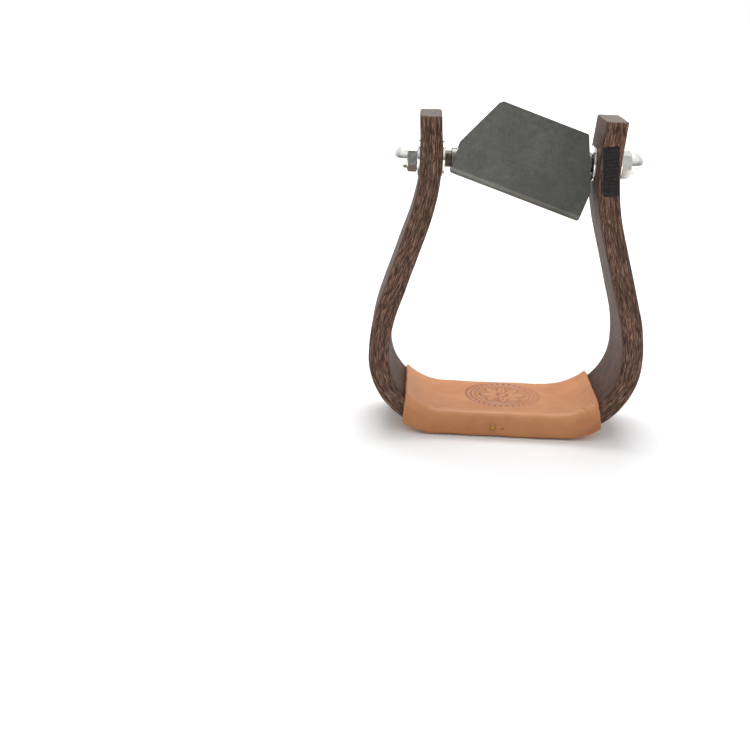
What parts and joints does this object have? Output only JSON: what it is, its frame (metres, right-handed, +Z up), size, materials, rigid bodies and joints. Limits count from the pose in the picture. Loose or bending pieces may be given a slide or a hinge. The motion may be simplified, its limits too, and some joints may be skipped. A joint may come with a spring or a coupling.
{
  "type": "western bell stirrup",
  "caption": "Bent laminated wooden bell stirrup with a leather covered tread and an angled steel turner sleeve on a bolt.",
  "frame": {"origin": "middle of the tread's underside, on the floor the stirrup stands on", "axes": "+Z up from the tread to the horns, +X along the bolt towards the stamped horn, +Y through the bow away from its stamped edge"},
  "size_m": [0.1678, 0.0542, 0.202],
  "materials": {
    "stained_wood": "open-pored, dark walnut stain",
    "tan_leather": "natural vegetable-tanned",
    "brass": "plain",
    "zinc_steel": "zinc plated",
    "bright_nickel": "bright nickel plated",
    "stainless_steel": "satin mill finish",
    "weld_steel": "as welded"
  },
  "bodies": {
    "bow": {"inner_ply": "stained_wood", "mid_inner_ply": "stained_wood", "mid_outer_ply": "stained_wood", "outer_ply": "stained_wood", "tread_cover": "tan_leather", "cover_tacks": "brass", "cross_bolt": "zinc_steel", "left_cap_nut": "bright_nickel", "right_cap_nut": "bright_nickel", "left_outer_washer": "bright_nickel", "right_outer_washer": "bright_nickel"},
    "sleeve": {"pivot_tube": "stainless_steel", "turner_plate": "stainless_steel", "sleeve_welds": "weld_steel"},
    "left_washer": {"left_inner_washer": "bright_nickel"},
    "right_washer": {"right_inner_washer": "bright_nickel"}
  },
  "joints": [
    {"name": "sleeve_swing", "type": "hinge", "parent": "bow", "child": "sleeve", "pos_m": [0, 0, 0.1682], "axis": [1, 0, 0], "continuous": true},
    {"name": "left_washer_spin", "type": "hinge", "parent": "bow", "child": "left_washer", "pos_m": [-0.0435, 0, 0.1682], "axis": [1, 0, 0], "continuous": true},
    {"name": "right_washer_spin", "type": "hinge", "parent": "bow", "child": "right_washer", "pos_m": [0.0435, 0, 0.1682], "axis": [1, 0, 0], "continuous": true}
  ]
}
